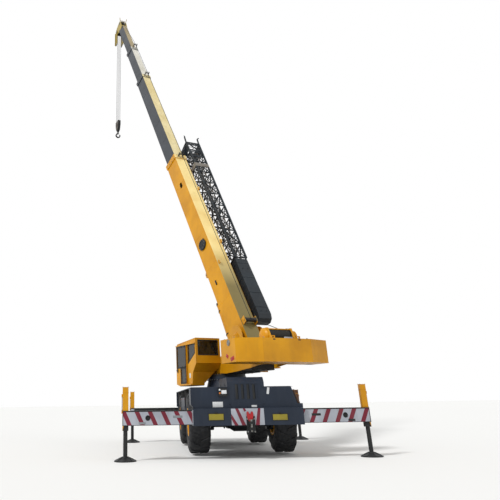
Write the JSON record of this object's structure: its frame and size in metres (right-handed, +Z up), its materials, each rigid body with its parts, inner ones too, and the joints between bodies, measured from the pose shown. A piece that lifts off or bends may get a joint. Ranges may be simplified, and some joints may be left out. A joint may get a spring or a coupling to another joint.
{
  "type": "mobile crane",
  "caption": "Rough-terrain crane on outriggers, with a raised telescopic boom, stowed lattice jib, side cab, counterweight, hoist drum and hanging hook block.",
  "frame": {"origin": "on the ground under the slewing axis", "axes": "+Z up, +Y towards the carrier's front, +X to the carrier's right"},
  "size_m": [7.9831, 14.6873, 24.2661],
  "materials": {
    "grey_paint": "satin",
    "yellow_paint": "satin",
    "white_paint": "satin",
    "dark_paint": "satin",
    "tyre": "matte",
    "yellow_rim": "satin",
    "glass": "polished",
    "chromed_rod": "polished",
    "wire_rope": "matte",
    "seat_cover": "matte",
    "sheave_steel": "satin",
    "engine_iron": "satin",
    "exhaust_rust": "matte"
  },
  "bodies": {
    "carrier": {"carrier_frame": "grey_paint", "engine_hood": "grey_paint", "engine_block": "engine_iron", "rear_decks": "grey_paint", "front_decks": "grey_paint", "side_tanks": "grey_paint", "driveline": "dark_paint", "rear_fittings": "dark_paint", "rear_lamps": "dark_paint", "exhaust": "exhaust_rust", "axle_front": "dark_paint", "axle_rear": "dark_paint"},
    "upper_works": {"turret_plates": "yellow_paint", "turret_base": "dark_paint", "side_cabinet": "yellow_paint", "counterweight": "yellow_paint", "hoist_frame": "yellow_paint", "cab_shell": "yellow_paint", "cab_glass": "glass", "cab_seat": "seat_cover", "cab_console": "seat_cover"},
    "boom_base": {"boom_base": "yellow_paint", "jib_lattice": "dark_paint", "jib_head": "dark_paint"},
    "boom_second": {"boom_second": "yellow_paint"},
    "boom_third": {"boom_third": "yellow_paint"},
    "boom_fourth": {"boom_fourth": "yellow_paint", "head_sheaves": "sheave_steel"},
    "hook": {"falls": "wire_rope", "hook_block": "yellow_paint"},
    "lift_barrel": {"lift_barrel": "yellow_paint"},
    "lift_rod": {"lift_rod": "chromed_rod"},
    "cab_door": {"cab_door": "yellow_paint", "door_glass": "glass"},
    "hoist_drum": {"hoist_drum": "wire_rope"},
    "knuckle_front_left": {"knuckle_front_left": "dark_paint"},
    "wheel_front_left": {"tyre_front_left": "tyre", "rim_front_left": "yellow_rim"},
    "knuckle_front_right": {"knuckle_front_right": "dark_paint"},
    "wheel_front_right": {"tyre_front_right": "tyre", "rim_front_right": "yellow_rim"},
    "knuckle_rear_left": {"knuckle_rear_left": "dark_paint"},
    "wheel_rear_left": {"tyre_rear_left": "tyre", "rim_rear_left": "yellow_rim"},
    "knuckle_rear_right": {"knuckle_rear_right": "dark_paint"},
    "wheel_rear_right": {"tyre_rear_right": "tyre", "rim_rear_right": "yellow_rim"},
    "outrigger_rear_left": {"outrigger_beam_rear_left": "white_paint"},
    "jack_rear_left": {"jack_leg_rear_left": "dark_paint"},
    "outrigger_rear_right": {"outrigger_beam_rear_right": "white_paint"},
    "jack_rear_right": {"jack_leg_rear_right": "dark_paint"},
    "outrigger_front_left": {"outrigger_beam_front_left": "white_paint"},
    "jack_front_left": {"jack_leg_front_left": "dark_paint"},
    "outrigger_front_right": {"outrigger_beam_front_right": "white_paint"},
    "jack_front_right": {"jack_leg_front_right": "dark_paint"}
  },
  "joints": [
    {"name": "swing", "type": "hinge", "parent": "carrier", "child": "upper_works", "pos_m": [0, 0, 2.09], "axis": [0, 0, 1], "continuous": true},
    {"name": "luff", "type": "hinge", "parent": "upper_works", "child": "boom_base", "pos_m": [0.53477, -1.33702, 3.149], "axis": [0.9285, 0.3714, 0], "range_deg": [-62.3, 16.7]},
    {"name": "extend_second", "type": "slide", "parent": "boom_base", "child": "boom_second", "axis": [-0.1896, 0.474, 0.8599], "range_m": [-7.14, 0]},
    {"name": "extend_third", "type": "slide", "parent": "boom_second", "child": "boom_third", "axis": [-0.1896, 0.474, 0.8599], "range_m": [-3.188, 3.782]},
    {"name": "extend_fourth", "type": "slide", "parent": "boom_third", "child": "boom_fourth", "axis": [-0.1896, 0.474, 0.8599], "range_m": [-3.188, 3.782]},
    {"name": "hook_hang", "type": "hinge", "parent": "boom_fourth", "child": "hook", "pos_m": [-4.23804, 10.59585, 23.69732], "axis": [0.9285, 0.3714, 0], "range_deg": [-16.7, 62.3]},
    {"name": "barrel_swing", "type": "hinge", "parent": "upper_works", "child": "lift_barrel", "pos_m": [0.3528, -0.88206, 2.35], "axis": [0.9285, 0.3714, 0], "range_deg": [-60.47, 16.28]},
    {"name": "rod_slide", "type": "slide", "parent": "lift_barrel", "child": "lift_rod", "axis": [-0.172, 0.4301, 0.8862], "range_m": [-0.939, 0.253]},
    {"name": "door_slide", "type": "slide", "parent": "upper_works", "child": "cab_door", "axis": [0.3714, -0.9285, 0], "range_m": [0, 0.62]},
    {"name": "drum_turn", "type": "hinge", "parent": "upper_works", "child": "hoist_drum", "pos_m": [1.12525, -2.81331, 3.05], "axis": [0.9285, 0.3714, 0], "continuous": true},
    {"name": "steer_front_left", "type": "hinge", "parent": "carrier", "child": "knuckle_front_left", "pos_m": [-0.94, 1.9, 0.83], "axis": [0, 0, 1], "range_deg": [-28, 28]},
    {"name": "roll_front_left", "type": "hinge", "parent": "knuckle_front_left", "child": "wheel_front_left", "pos_m": [-1.18, 1.9, 0.83], "axis": [1, 0, 0], "continuous": true},
    {"name": "steer_front_right", "type": "hinge", "parent": "carrier", "child": "knuckle_front_right", "pos_m": [0.94, 1.9, 0.83], "axis": [0, 0, 1], "range_deg": [-28, 28]},
    {"name": "roll_front_right", "type": "hinge", "parent": "knuckle_front_right", "child": "wheel_front_right", "pos_m": [1.18, 1.9, 0.83], "axis": [1, 0, 0], "continuous": true},
    {"name": "steer_rear_left", "type": "hinge", "parent": "carrier", "child": "knuckle_rear_left", "pos_m": [-0.94, -2, 0.83], "axis": [0, 0, 1], "range_deg": [-28, 28]},
    {"name": "roll_rear_left", "type": "hinge", "parent": "knuckle_rear_left", "child": "wheel_rear_left", "pos_m": [-1.18, -2, 0.83], "axis": [1, 0, 0], "continuous": true},
    {"name": "steer_rear_right", "type": "hinge", "parent": "carrier", "child": "knuckle_rear_right", "pos_m": [0.94, -2, 0.83], "axis": [0, 0, 1], "range_deg": [-28, 28]},
    {"name": "roll_rear_right", "type": "hinge", "parent": "knuckle_rear_right", "child": "wheel_rear_right", "pos_m": [1.18, -2, 0.83], "axis": [1, 0, 0], "continuous": true},
    {"name": "beam_rear_left", "type": "slide", "parent": "carrier", "child": "outrigger_rear_left", "axis": [-1, 0, 0], "range_m": [-1.62, 0]},
    {"name": "jack_rear_left_lift", "type": "slide", "parent": "outrigger_rear_left", "child": "jack_rear_left", "axis": [0, 0, 1], "range_m": [-0.15, 0.56]},
    {"name": "beam_rear_right", "type": "slide", "parent": "carrier", "child": "outrigger_rear_right", "axis": [1, 0, 0], "range_m": [-1.62, 0]},
    {"name": "jack_rear_right_lift", "type": "slide", "parent": "outrigger_rear_right", "child": "jack_rear_right", "axis": [0, 0, 1], "range_m": [-0.15, 0.56]},
    {"name": "beam_front_left", "type": "slide", "parent": "carrier", "child": "outrigger_front_left", "axis": [-1, 0, 0], "range_m": [-1.62, 0]},
    {"name": "jack_front_left_lift", "type": "slide", "parent": "outrigger_front_left", "child": "jack_front_left", "axis": [0, 0, 1], "range_m": [-0.15, 0.56]},
    {"name": "beam_front_right", "type": "slide", "parent": "carrier", "child": "outrigger_front_right", "axis": [1, 0, 0], "range_m": [-1.62, 0]},
    {"name": "jack_front_right_lift", "type": "slide", "parent": "outrigger_front_right", "child": "jack_front_right", "axis": [0, 0, 1], "range_m": [-0.15, 0.56]}
  ],
  "couplings": [
    {"joint": "extend_fourth", "follows": "extend_third", "ratio": 1},
    {"joint": "hook_hang", "follows": "luff", "ratio": -1},
    {"joint": "barrel_swing", "follows": "luff", "ratio": 0.969},
    {"joint": "rod_slide", "follows": "luff", "m_per_rad": 0.862},
    {"joint": "steer_front_right", "follows": "steer_front_left", "ratio": 1},
    {"joint": "steer_rear_right", "follows": "steer_rear_left", "ratio": 1}
  ]
}
